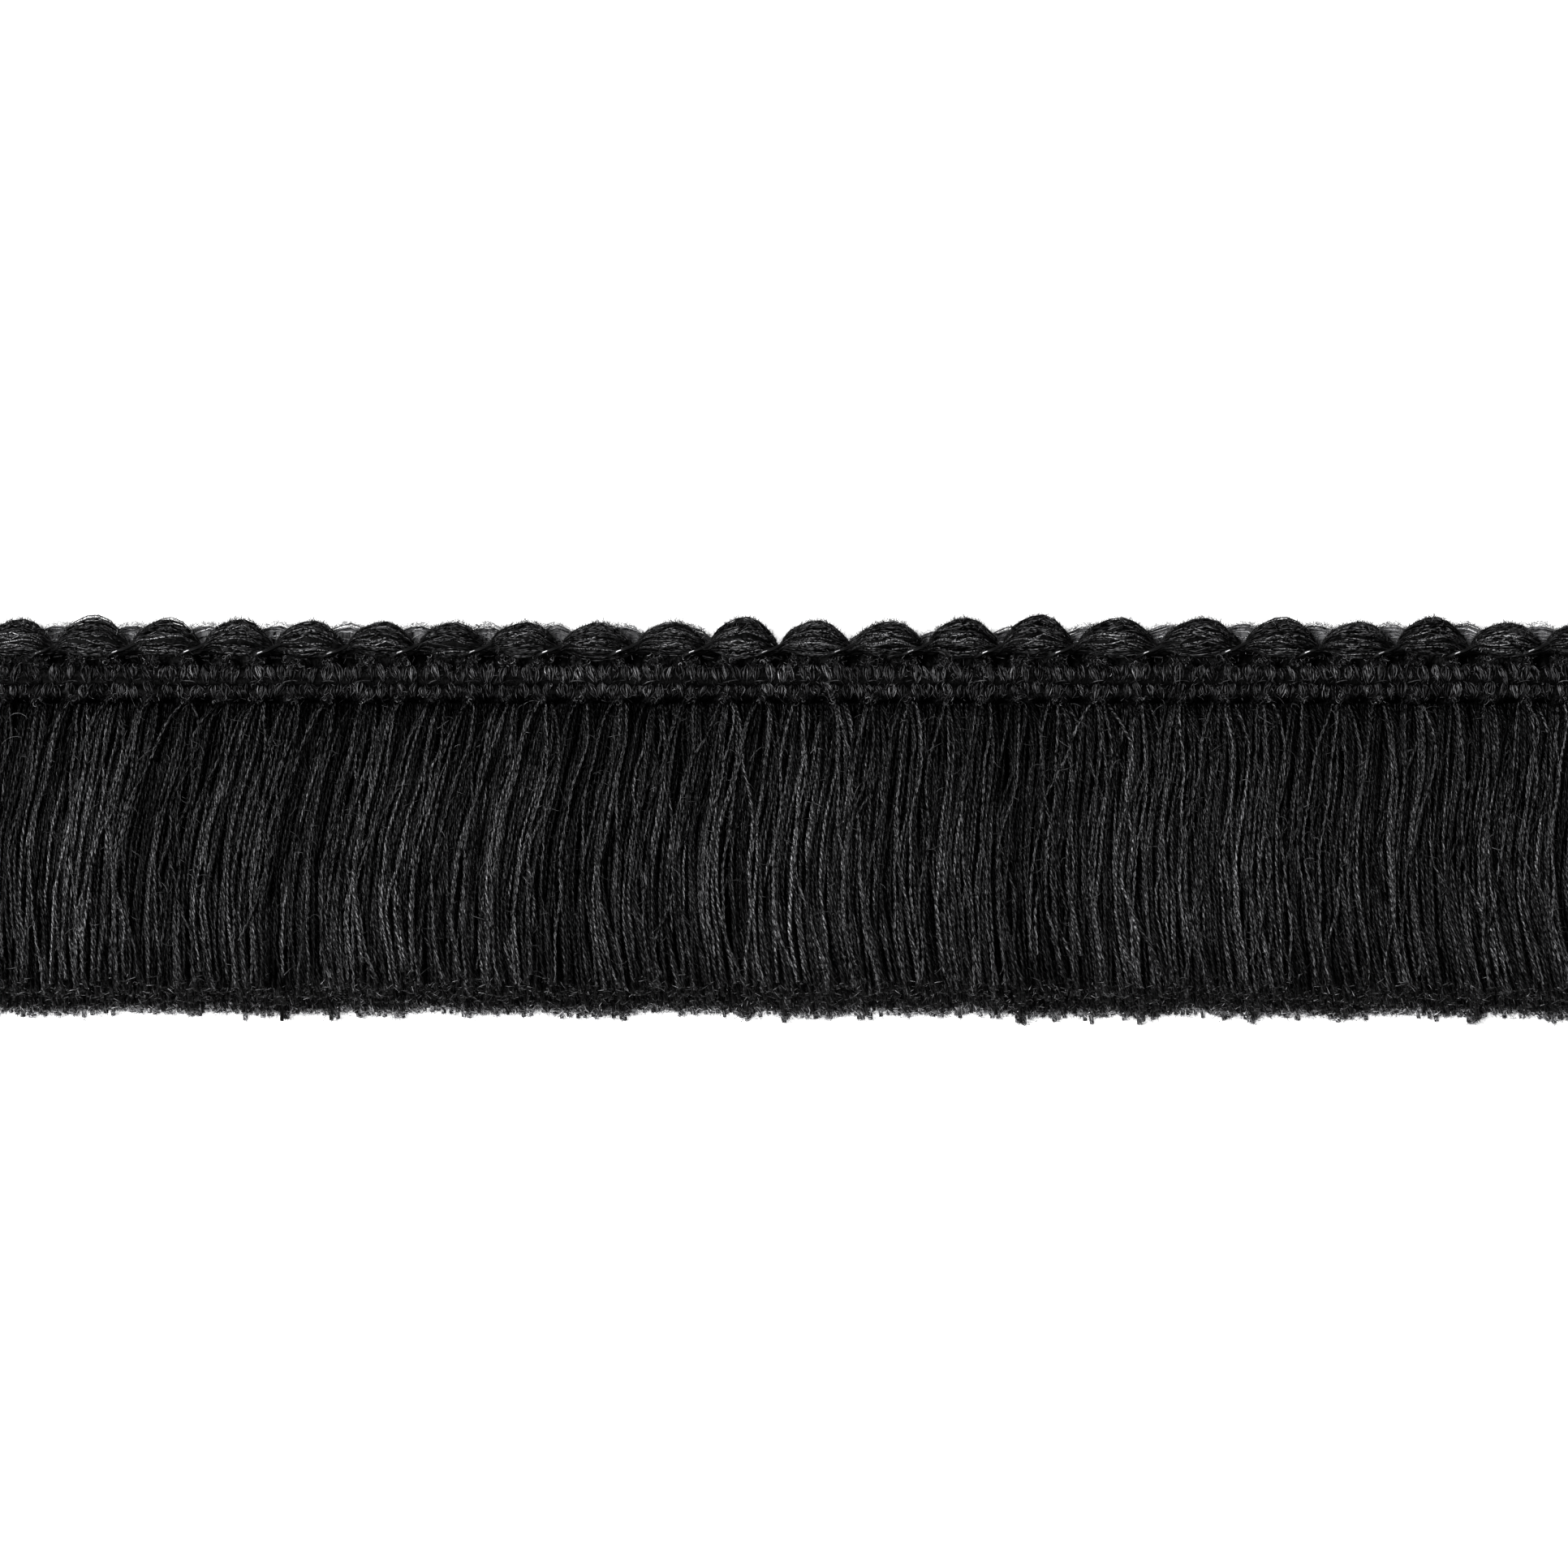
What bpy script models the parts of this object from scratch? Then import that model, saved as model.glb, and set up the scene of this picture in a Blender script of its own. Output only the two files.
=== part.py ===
# Brush fringe trim: a cut length lying on its back, face up.
# Metres, +X along the trim, +Y towards the scalloped edge, +Z out of the face.
# The surface that it lies on is z = 0, and y = 0 is the groove between the two stitch ribs.

import math
import random

import bmesh
import bpy

MM = 0.001

# Whole trim
HALF_LENGTH = 86.0 * MM
PUFF_PITCH = 7.5 * MM

# Scallop rovings: the front one lies on the back one
FRONT_LIE = 2.75 * MM
BACK_LIE = 0.0
CORD_THICK = 2.4 * MM
NECK_THICK = 1.5 * MM
CORD_BASE = 3.25 * MM
NECK_TOP = 4.55 * MM
CORD_SIDES = 8
# Share of the way from one pinch to the next, and how much of the puff's rise is reached there
PUFF_STATIONS = (
    ("share", "rise"),
    (0.00, 0.00),
    (0.16, 0.55),
    (0.38, 0.93),
    (0.60, 1.00),
    (0.80, 0.80),
    (0.93, 0.34),
)
# Crown of each front puff along the trim, and its height over the pinches
FRONT_PUFFS = (
    ("crown_mm", "rise_mm"),
    (-84.5, 1.9),
    (-77.1, 2.0),
    (-69.7, 2.0),
    (-62.6, 1.9),
    (-55.3, 2.1),
    (-47.5, 2.1),
    (-40.2, 2.0),
    (-33.5, 1.8),
    (-26.2, 2.0),
    (-18.2, 2.0),
    (-11.2, 1.9),
    (-3.9, 2.3),
    (3.2, 1.9),
    (11.1, 2.1),
    (18.6, 2.0),
    (26.2, 2.0),
    (33.5, 2.1),
    (42.6, 2.2),
    (50.7, 2.0),
    (58.0, 1.9),
    (65.6, 2.0),
    (73.2, 2.0),
    (80.8, 1.9),
)
# How far the back puffs lie to the right of the front ones, at some places along the trim
BACK_DRIFT = (
    ("place_mm", "drift_mm"),
    (-86.0, 3.7),
    (-62.0, 3.6),
    (-35.0, 2.2),
    (-12.0, 1.7),
    (12.0, 0.6),
    (30.0, -3.2),
    (45.0, -4.4),
    (60.0, -5.0),
    (86.0, -5.0),
)

# Heading band: its section across the trim, and the dimples of the two open stitch rows
BAND_HOLE_PITCH = PUFF_PITCH / 2.0
BAND_HOLE_DEPTH = 0.9 * MM
BAND_SECTION = (
    ("y_mm", "z_mm", "dimpled"),
    (-2.05, 0.0, False),
    (-2.05, 3.1, False),
    (-1.80, 3.6, True),
    (-1.45, 4.1, False),
    (-0.45, 4.2, False),
    (0.0, 3.8, False),
    (0.45, 4.2, False),
    (1.50, 4.2, False),
    (1.90, 3.7, False),
    (2.45, 3.6, True),
    (2.95, 3.5, False),
    (2.95, 0.0, False),
)

# Skirt: three rows of locks out of a narrow strip. The lowest row lies level on the surface
# from ROOT_FALL past the strip to its cut ends, and the front ends are cut shorter by the slant.
STRIP_TOP_Y = -2.35 * MM
STRIP_LOW_Y = -3.15 * MM
STRIP_HEIGHT = 4.1 * MM
STRIP_MARGIN = 0.5 * MM
ROOT_DEPTH = 0.4 * MM
ROOT_FALL = 1.0 * MM
LOCKS_A_ROW = 86
LOCK_GAP = 0.32 * MM
CUT_BACK_Y = -33.9 * MM
CUT_SLANT = 1.3 * MM
CUT_UNEVEN = 0.35 * MM
SKIRT_HIGH = 7.9 * MM
SKIRT_HIGH_AT_ROOT = 4.5 * MM
FACE_UNEVEN = 0.22 * MM
# Each row's share of the skirt's thickness, its height at the root, and its steps down to the cut
LOCK_ROWS = (
    ("low_share", "high_share", "root_low_mm", "root_high_mm", "steps", "half_pitch_over"),
    (0.00, 0.32, 0.35, 1.25, 2, False),
    (0.36, 0.64, 1.60, 2.50, 2, True),
    (0.68, 1.00, 2.85, 3.80, 3, False),
)
# Sideways drift of the yarns from root to cut, at some places along the trim
LEAN = (
    ("place_mm", "upper_mm", "lower_mm"),
    (-86.0, -2.6, -1.2),
    (-55.0, -2.6, -1.0),
    (-20.0, -1.8, -0.2),
    (10.0, -0.8, 0.8),
    (40.0, 0.2, 1.6),
    (86.0, 0.8, 2.4),
)
CLUMPS = (
    ("wave_mm", "sway_mm", "phase"),
    (17.0, 0.34, 0.4),
    (10.3, 0.20, 2.1),
    (29.0, 0.40, 4.0),
)

SEED = 41


def rows_of(table):
    """Each row of a table as a dictionary keyed by the table's column names."""
    return [dict(zip(table[0], row)) for row in table[1:]]


def read_table(table, key, value, at):
    """The value between the two table rows around a place, in proportion to the distance."""
    rows = rows_of(table)
    for low, high in zip(rows, rows[1:]):
        if at <= high[key]:
            share = max(0.0, (at - low[key]) / (high[key] - low[key]))
            return low[value] + share * (high[value] - low[value])
    return rows[-1][value]


def clear_scene():
    """Takes every object out of the scene."""
    for old in list(bpy.data.objects):
        bpy.data.objects.remove(old, do_unlink=True)


def make_collection(name):
    """A collection under the scene's own."""
    made = bpy.data.collections.new(name)
    bpy.context.scene.collection.children.link(made)
    return made


def make_material(name, grey, rough):
    """A dyed yarn: near-black, rough, a little sheen."""
    made = bpy.data.materials.new(name)
    made.use_nodes = True
    shader = made.node_tree.nodes["Principled BSDF"]
    shader.inputs["Base Color"].default_value = (grey, grey, grey, 1.0)
    shader.inputs["Roughness"].default_value = rough
    shader.inputs["Sheen Weight"].default_value = 0.3
    return made


def add_object(name, bm, collection, material):
    """Turns a bmesh into a named object with its faces out."""
    bmesh.ops.recalc_face_normals(bm, faces=bm.faces)
    mesh = bpy.data.meshes.new(name)
    bm.to_mesh(mesh)
    bm.free()
    made = bpy.data.objects.new(name, mesh)
    made.data.materials.append(material)
    collection.objects.link(made)
    return made


def loft(bm, rings):
    """One closed body through equal rings of points, with a flat cap at each end."""
    layers = [[bm.verts.new(point) for point in ring] for ring in rings]
    for near, far in zip(layers, layers[1:]):
        for side in range(len(near)):
            following = (side + 1) % len(near)
            bm.faces.new((near[side], near[following], far[following], far[side]))
    bm.faces.new(reversed(layers[0]))
    bm.faces.new(layers[-1])


def cord_ring(x, top, thick, lie):
    """A flattened oval across the roving, from its straight lower edge up to its top."""
    middle = (CORD_BASE + top) / 2.0
    reach = (top - CORD_BASE) / 2.0
    ring = []
    for side in range(CORD_SIDES):
        turn = 2.0 * math.pi * (side + 0.5) / CORD_SIDES
        corner = 1.0 / math.cos(math.pi / CORD_SIDES)
        y = middle + reach * math.cos(turn) * corner
        z = lie + thick / 2.0 * (1.0 + math.sin(turn) * corner)
        ring.append((x, y, z))
    return ring


def fill_length(crowns, rises):
    """Adds plain puffs at either end until the roving passes both cuts."""
    crowns = list(crowns)
    rises = list(rises)
    while crowns[0] - PUFF_PITCH / 2.0 > -HALF_LENGTH:
        crowns.insert(0, crowns[0] - PUFF_PITCH)
        rises.insert(0, rises[0])
    while crowns[-1] + PUFF_PITCH / 2.0 < HALF_LENGTH:
        crowns.append(crowns[-1] + PUFF_PITCH)
        rises.append(rises[-1])
    return crowns, rises


def puff_stations(crowns, rises):
    """Stations of a pinched roving: place along the trim and share of the rise, puff by puff."""
    crowns, rises = fill_length(crowns, rises)
    pinches = [(left + right) / 2.0 for left, right in zip(crowns, crowns[1:])]
    pinches.insert(0, crowns[0] - PUFF_PITCH / 2.0)
    pinches.append(crowns[-1] + PUFF_PITCH / 2.0)
    stations = []
    for left, right, rise in zip(pinches, pinches[1:], rises):
        for row in rows_of(PUFF_STATIONS):
            stations.append((left + row["share"] * (right - left), row["rise"], rise))
    stations.append((pinches[-1], 0.0, rises[-1]))
    return stations


def trim_ends(stations):
    """Keeps the stations inside the cut length, and moves the outermost ones to the cuts."""
    least = 0.2 * MM
    kept = [row for row in stations if abs(row[0]) < HALF_LENGTH - least]
    first = (-HALF_LENGTH, kept[0][1], kept[0][2])
    last = (HALF_LENGTH, kept[-1][1], kept[-1][2])
    return [first] + kept + [last]


def build_cord(name, crowns, rises, lie, collection, material):
    """A roving pinched into puffs, as one body from cut end to cut end."""
    rings = []
    for x, swell, rise in trim_ends(puff_stations(crowns, rises)):
        thick = NECK_THICK + swell * (CORD_THICK - NECK_THICK)
        low = lie + (CORD_THICK - thick) / 2.0 if lie > 0.0 else 0.0
        rings.append(cord_ring(x, NECK_TOP + swell * rise, thick, low))
    bm = bmesh.new()
    loft(bm, rings)
    return add_object(name, bm, collection, material)


def build_band(collection, material):
    """The knitted band: its section drawn along the trim, dimpled at every open stitch."""
    half_step = BAND_HOLE_PITCH / 2.0
    steps = int(HALF_LENGTH / half_step)
    places = [-HALF_LENGTH] + [step * half_step for step in range(-steps, steps + 1)] + [HALF_LENGTH]
    rings = []
    for place in places:
        sunk = round(place / half_step) % 2 == 0 and abs(place) < HALF_LENGTH - half_step
        ring = []
        for row in rows_of(BAND_SECTION):
            drop = BAND_HOLE_DEPTH if row["dimpled"] and sunk else 0.0
            ring.append((place, row["y_mm"] * MM, row["z_mm"] * MM - drop))
        rings.append(ring)
    bm = bmesh.new()
    loft(bm, rings)
    return add_object("heading_band", bm, collection, material)


def sideways(x, share):
    """How far a yarn rooted at x has drifted sideways at a share of the way to the cut."""
    place = x / MM
    upper = read_table(LEAN, "place_mm", "upper_mm", place)
    lower = read_table(LEAN, "place_mm", "lower_mm", place)
    drift = upper * math.sin(share * math.pi / 2.0) + lower * share * share
    for wave in rows_of(CLUMPS):
        drift += share * wave["sway_mm"] * math.sin(2.0 * math.pi * place / wave["wave_mm"] + wave["phase"])
    return drift * MM


def lock_ring(left, right, low, high, y_low, y_high):
    """Four corners across a lock, whose lower and upper edges may end at unlike depths."""
    return [
        (left, y_low, low),
        (right, y_low, low),
        (right, y_high, high),
        (left, y_high, high),
    ]


def lock_rings(row, left_root, right_root, chance):
    """A lock from inside the strip down to the slanted cut."""
    half_gap = LOCK_GAP / 2.0
    root_y = STRIP_LOW_Y + ROOT_DEPTH
    low_root = row["root_low_mm"] * MM
    high_root = row["root_high_mm"] * MM
    rings = [lock_ring(left_root + half_gap, right_root - half_gap, low_root, high_root, root_y, root_y)]
    uneven = chance.uniform(-CUT_UNEVEN, CUT_UNEVEN)
    bump = chance.uniform(-FACE_UNEVEN, FACE_UNEVEN) if row["high_share"] == 1.0 else 0.0
    for step in range(row["steps"] + 1):
        share = step / row["steps"]
        high_of_all = SKIRT_HIGH_AT_ROOT + (SKIRT_HIGH - SKIRT_HIGH_AT_ROOT) * share
        low = row["low_share"] * high_of_all
        high = row["high_share"] * high_of_all + bump * share
        first_y = STRIP_LOW_Y - ROOT_FALL
        cut_low = CUT_BACK_Y + CUT_SLANT * low / SKIRT_HIGH + uneven
        cut_high = CUT_BACK_Y + CUT_SLANT * high / SKIRT_HIGH + uneven
        left = left_root + sideways(left_root, share) + half_gap
        right = right_root + sideways(right_root, share) - half_gap
        y_low = first_y + (cut_low - first_y) * share
        y_high = first_y + (cut_high - first_y) * share
        rings.append(lock_ring(left, right, low, high, y_low, y_high))
    return rings


def strip_body():
    """The narrow strip that holds the roots of the skirt."""
    bm = bmesh.new()
    rings = []
    for x in (-HALF_LENGTH, HALF_LENGTH):
        rings.append([
            (x, STRIP_TOP_Y, 0.0),
            (x, STRIP_LOW_Y, 0.0),
            (x, STRIP_LOW_Y, STRIP_HEIGHT),
            (x, STRIP_TOP_Y, STRIP_HEIGHT),
        ])
    loft(bm, rings)
    return bm


def build_skirt(collection, cutters, material):
    """The strip and the three rows of locks, joined at the roots."""
    chance = random.Random(SEED)
    locks = bmesh.new()
    reach = HALF_LENGTH - STRIP_MARGIN
    pitch = 2.0 * reach / LOCKS_A_ROW
    for row in rows_of(LOCK_ROWS):
        start = -reach + (pitch / 2.0 if row["half_pitch_over"] else 0.0)
        count = LOCKS_A_ROW - 1 if row["half_pitch_over"] else LOCKS_A_ROW
        for number in range(count):
            left = start + number * pitch
            loft(locks, lock_rings(row, left, left + pitch, chance))
    lock_object = add_object("skirt_locks", locks, cutters, material)
    lock_object.hide_render = True
    lock_object.display_type = "WIRE"
    skirt = add_object("fringe_skirt", strip_body(), collection, material)
    joined = skirt.modifiers.new("Join locks", "BOOLEAN")
    joined.operation = "UNION"
    joined.solver = "EXACT"
    joined.object = lock_object
    return skirt


def main():
    """Builds the four pieces."""
    clear_scene()
    collection = make_collection("brush_fringe_trim")
    cutters = make_collection("cutters")
    front = rows_of(FRONT_PUFFS)
    crowns = [row["crown_mm"] * MM for row in front]
    rises = [row["rise_mm"] * MM for row in front]
    roving = make_material("roving", 0.012, 0.75)
    knit = make_material("knit yarn", 0.009, 0.8)
    yarn = make_material("skirt yarn", 0.010, 0.8)
    drifts = [read_table(BACK_DRIFT, "place_mm", "drift_mm", row["crown_mm"]) * MM for row in front]
    back = [crown + drift for crown, drift in zip(crowns, drifts)]
    build_cord("scallop_cord_front", crowns, rises, FRONT_LIE, collection, roving)
    build_cord("scallop_cord_back", back, rises, BACK_LIE, collection, roving)
    build_band(collection, knit)
    build_skirt(collection, cutters, yarn)


main()
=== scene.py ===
# Brush fringe trim: a cut length lying on its back, face up, seen a little from the cut side.
import math

import bpy
import numpy as np
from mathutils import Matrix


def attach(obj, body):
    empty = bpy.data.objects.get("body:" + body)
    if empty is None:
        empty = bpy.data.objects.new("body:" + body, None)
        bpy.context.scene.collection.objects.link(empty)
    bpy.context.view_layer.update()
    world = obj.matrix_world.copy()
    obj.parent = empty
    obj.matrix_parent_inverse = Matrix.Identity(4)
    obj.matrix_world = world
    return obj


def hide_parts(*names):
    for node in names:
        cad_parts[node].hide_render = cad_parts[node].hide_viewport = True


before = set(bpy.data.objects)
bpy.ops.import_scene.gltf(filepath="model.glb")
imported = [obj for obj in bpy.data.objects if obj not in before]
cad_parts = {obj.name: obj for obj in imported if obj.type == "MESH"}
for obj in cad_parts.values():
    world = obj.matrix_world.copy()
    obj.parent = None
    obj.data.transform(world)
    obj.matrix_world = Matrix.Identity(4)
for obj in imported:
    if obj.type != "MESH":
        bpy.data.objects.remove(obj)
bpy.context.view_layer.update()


# Camera
# The photograph looks down on the face of the trim, 18 degrees off square towards the cut ends,
# so that the cut shows below the skirt and the back puffs sit a little lower than the front ones.
MM = 0.001
CAMERA_TILT = math.radians(18.0)
CAMERA_AWAY = 550.0 * MM
FRAME_WIDE = 156.8 * MM
AIM = (0.0, -11.27 * MM, 5.0 * MM)

lens = bpy.data.cameras.new("camera")
lens.sensor_width = 36.0
lens.lens = lens.sensor_width * CAMERA_AWAY / FRAME_WIDE
lens.clip_start = 0.01
camera = bpy.data.objects.new("camera", lens)
camera.location = (
    AIM[0],
    AIM[1] - CAMERA_AWAY * math.sin(CAMERA_TILT),
    AIM[2] + CAMERA_AWAY * math.cos(CAMERA_TILT),
)
camera.rotation_euler = (CAMERA_TILT, 0.0, 0.0)
bpy.context.scene.collection.objects.link(camera)
bpy.context.scene.camera = camera


# Floor and light
# A white table that runs out of the picture and glows a little, as paper under bright lamps does,
# and two wide soft lamps: the main one overhead on the left, a weaker one past the cut ends.
FLOOR_DOWN = 0.15 * MM
FLOOR_REACH = 3.0
FLOOR_GLOW = 0.8
SKY_STRENGTH = 0.22

floor_mesh = bpy.data.meshes.new("floor")
floor_sides = [(-1, -1), (1, -1), (1, 1), (-1, 1)]
floor_corners = [(FLOOR_REACH * x, FLOOR_REACH * y, -FLOOR_DOWN) for x, y in floor_sides]
floor_mesh.from_pydata(floor_corners, [], [range(4)])
floor = bpy.data.objects.new("floor", floor_mesh)
bpy.context.scene.collection.objects.link(floor)
paper = bpy.data.materials.new("white_paper")
paper.use_nodes = True
paper_shader = paper.node_tree.nodes["Principled BSDF"]
paper_shader.inputs["Base Color"].default_value = (0.92, 0.92, 0.92, 1.0)
paper_shader.inputs["Roughness"].default_value = 0.9
paper_shader.inputs["Emission Color"].default_value = (1.0, 1.0, 1.0, 1.0)
paper_shader.inputs["Emission Strength"].default_value = FLOOR_GLOW
floor.data.materials.append(paper)

sky = bpy.data.worlds.new("studio")
sky.use_nodes = True
sky.node_tree.nodes["Background"].inputs["Color"].default_value = (1.0, 1.0, 1.0, 1.0)
sky.node_tree.nodes["Background"].inputs["Strength"].default_value = SKY_STRENGTH
bpy.context.scene.world = sky
bpy.context.scene.view_settings.view_transform = "Standard"


def soft_lamp(name, place, size, power):
    """A square lamp at a place, turned towards the middle of the trim."""
    light = bpy.data.lights.new(name, "AREA")
    light.size = size
    light.energy = power
    lamp = bpy.data.objects.new(name, light)
    lamp.location = place
    away = np.array(place) - np.array(AIM)
    level = math.hypot(away[0], away[1])
    lamp.rotation_euler = (math.atan2(level, away[2]), 0.0, math.atan2(away[1], away[0]) + math.pi / 2.0)
    bpy.context.scene.collection.objects.link(lamp)


soft_lamp("lamp_overhead", place=(-0.45, -0.15, 0.95), size=0.4, power=15.0)
soft_lamp("lamp_cut_side", place=(0.3, -0.9, 0.7), size=0.4, power=0.9)


# Front scallop roving
# A soft untwisted roving of many fine black fibres, laid along the top of the heading and tied
# down every 7.5 mm, so that it swells into a row of puffs with the fibres arching over each one.
HALF_LENGTH = 86.0 * MM
PUFF_PITCH = 7.5 * MM
# Place of each puff's crown along the trim, its rise over the ties and its sag below them
FRONT_PUFFS = (
    ("crown_mm", "rise_mm", "sag_mm"),
    (-84.5, 2.9, 0.5),
    (-77.1, 3.1, 0.4),
    (-69.7, 3.3, 0.7),
    (-62.0, 3.0, 0.6),
    (-55.0, 3.1, 0.3),
    (-47.6, 2.9, 0.7),
    (-40.4, 2.7, 0.5),
    (-33.3, 2.8, 0.8),
    (-26.1, 2.8, 0.5),
    (-18.6, 2.7, 0.9),
    (-11.0, 2.8, 0.4),
    (-3.9, 3.3, 0.9),
    (3.4, 2.9, 0.5),
    (10.8, 2.9, 0.7),
    (18.5, 3.2, 0.8),
    (25.8, 3.5, 0.5),
    (33.6, 3.1, 0.8),
    (42.6, 3.2, 0.6),
    (50.6, 3.1, 0.7),
    (58.2, 2.8, 0.9),
    (65.8, 3.3, 0.5),
    (73.1, 2.7, 0.7),
    (80.8, 2.7, 0.6),
)
PUFF_SHARES = np.array([0.0, 0.06, 0.15, 0.27, 0.42, 0.57, 0.72, 0.85, 0.94])
TIE_SHIFT = 0.25 * MM
NECK_TOP = 3.52 * MM
NECK_BASE = 3.05 * MM
NECK_SLANT = 0.42
NECK_REACH = 1.3 * MM
NECK_DEEP = 0.36 * MM
PUFF_DEEP = 1.35 * MM
FRONT_MIDDLE = 3.95 * MM
FIBRE_THICK = (0.035 * MM, 0.065 * MM)
FUZZ_FIBRES = 14500
FUZZ_THICK = 0.020 * MM
STREAK_EDGE = 0.26


def columns(table):
    """A table's columns as arrays, by the names in its first row."""
    return {name: np.array([row[at] for row in table[1:]]) for at, name in enumerate(table[0])}


def unit(vectors):
    """Vectors scaled to length one."""
    return vectors / np.maximum(np.linalg.norm(vectors, axis=-1, keepdims=True), 1e-12)


def spots(x, y, z):
    """Points from their three measures, each a number or an array."""
    return np.stack(np.broadcast_arrays(x, y, z), axis=-1)


def round_strands(paths, thick, sides, tone, chance):
    """Closed round strands. Each corner is its path point plus the radius times
    (cos turn * across + sin turn * outward), with the turn going round in equal steps. The map
    runs once round the strand in U, and along it in millimetres in V, begun at a random place."""
    count, steps = paths.shape[:2]
    thick = np.broadcast_to(thick, (count, steps))
    along = unit(np.gradient(paths, axis=1))
    helper = np.eye(3)[np.argmin(np.abs(paths[:, -1] - paths[:, 0]), axis=1)][:, None, :]
    across = unit(np.cross(along, helper))
    outward = np.cross(across, along)
    turn = 2.0 * np.pi * np.arange(sides) / sides
    ring = np.cos(turn)[:, None] * across[:, :, None, :] + np.sin(turn)[:, None] * outward[:, :, None, :]
    points = (paths[:, :, None, :] + thick[:, :, None, None] * ring).reshape(-1, 3)
    strand = np.arange(count)[:, None, None] * steps
    side = np.arange(sides)[None, None, :]
    here = (strand + np.arange(steps - 1)[None, :, None]) * sides + side
    beside = here - side + (side + 1) % sides
    walls = np.stack([here, here + sides, beside + sides, beside], axis=-1).reshape(-1)
    first = (strand[:, :, 0] * sides + np.arange(sides)).reshape(-1)
    last = ((strand[:, :, 0] + steps - 1) * sides + np.arange(sides)[::-1]).reshape(-1)
    gone = np.linalg.norm(np.diff(paths, axis=1), axis=2) / MM
    length = np.concatenate([np.zeros((count, 1)), np.cumsum(gone, axis=1)], axis=1)
    length = length * chance.uniform(0.88, 1.12, (count, 1)) + chance.uniform(0, 100, (count, 1))
    near, far = length[:, :-1, None], length[:, 1:, None]
    left, right = side / sides, side / sides + 1.0 / sides
    wall_map = np.stack(np.broadcast_arrays(left, near, left, far, right, far, right, near), axis=-1)
    end_v = np.repeat(length[:, [0, -1]].T.reshape(-1), sides)
    end_map = np.stack([np.full(len(end_v), 0.5), end_v], axis=-1)
    return {
        "points": points,
        "corners": np.concatenate([walls, first, last]),
        "sizes": np.concatenate([np.full(len(walls) // 4, 4), np.full(2 * count, sides)]),
        "map": np.concatenate([wall_map.reshape(-1, 2), end_map]),
        "tone": np.repeat(np.broadcast_to(tone, (count, steps)).reshape(-1), sides),
    }


def lay_piece(name, bundles, finish, slot, *nodes):
    """Makes one piece of several bundles of strands, with its map, tone and finish, attached to the
    root body, and hides the imported parts that it stands for.
    """
    before = np.cumsum([0] + [len(bundle["points"]) for bundle in bundles[:-1]])
    whole = {key: np.concatenate([bundle[key] for bundle in bundles]) for key in bundles[0]}
    corners = np.concatenate([bundle["corners"] + start for bundle, start in zip(bundles, before)])
    sizes = whole["sizes"]
    mesh = bpy.data.meshes.new(name)
    mesh.vertices.add(len(whole["points"]))
    mesh.vertices.foreach_set("co", whole["points"].astype(np.float32).reshape(-1))
    mesh.loops.add(len(corners))
    mesh.loops.foreach_set("vertex_index", corners.astype(np.int32))
    mesh.polygons.add(len(sizes))
    mesh.polygons.foreach_set("loop_start", (np.cumsum(sizes) - sizes).astype(np.int32))
    mesh.polygons.foreach_set("use_smooth", np.ones(len(sizes), dtype=bool))
    mesh.update(calc_edges=True)
    strand_map = mesh.uv_layers.new(name="strand")
    strand_map.uv.foreach_set("vector", whole["map"].astype(np.float32).reshape(-1))
    tones = mesh.attributes.new("tone", "FLOAT", "POINT")
    tones.data.foreach_set("value", whole["tone"].astype(np.float32))
    piece = bpy.data.objects.new(name, mesh)
    bpy.context.scene.collection.objects.link(piece)
    mesh.materials.append(finish)
    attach(piece, "root")
    if nodes:
        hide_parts(*nodes)


def wire(tree, kind, inputs, **settings):
    """A shader node with its settings, fed by numbers or by other nodes' outputs."""
    node = tree.nodes.new(kind)
    for key, value in settings.items():
        setattr(node, key, value)
    for key, value in inputs.items():
        if isinstance(value, bpy.types.NodeSocket):
            tree.links.new(value, node.inputs[key])
        else:
            node.inputs[key].default_value = value
    return node.outputs


def reckon(tree, how, *values):
    """A math node over numbers or outputs."""
    return wire(tree, "ShaderNodeMath", dict(enumerate(values)), operation=how)[0]


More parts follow.
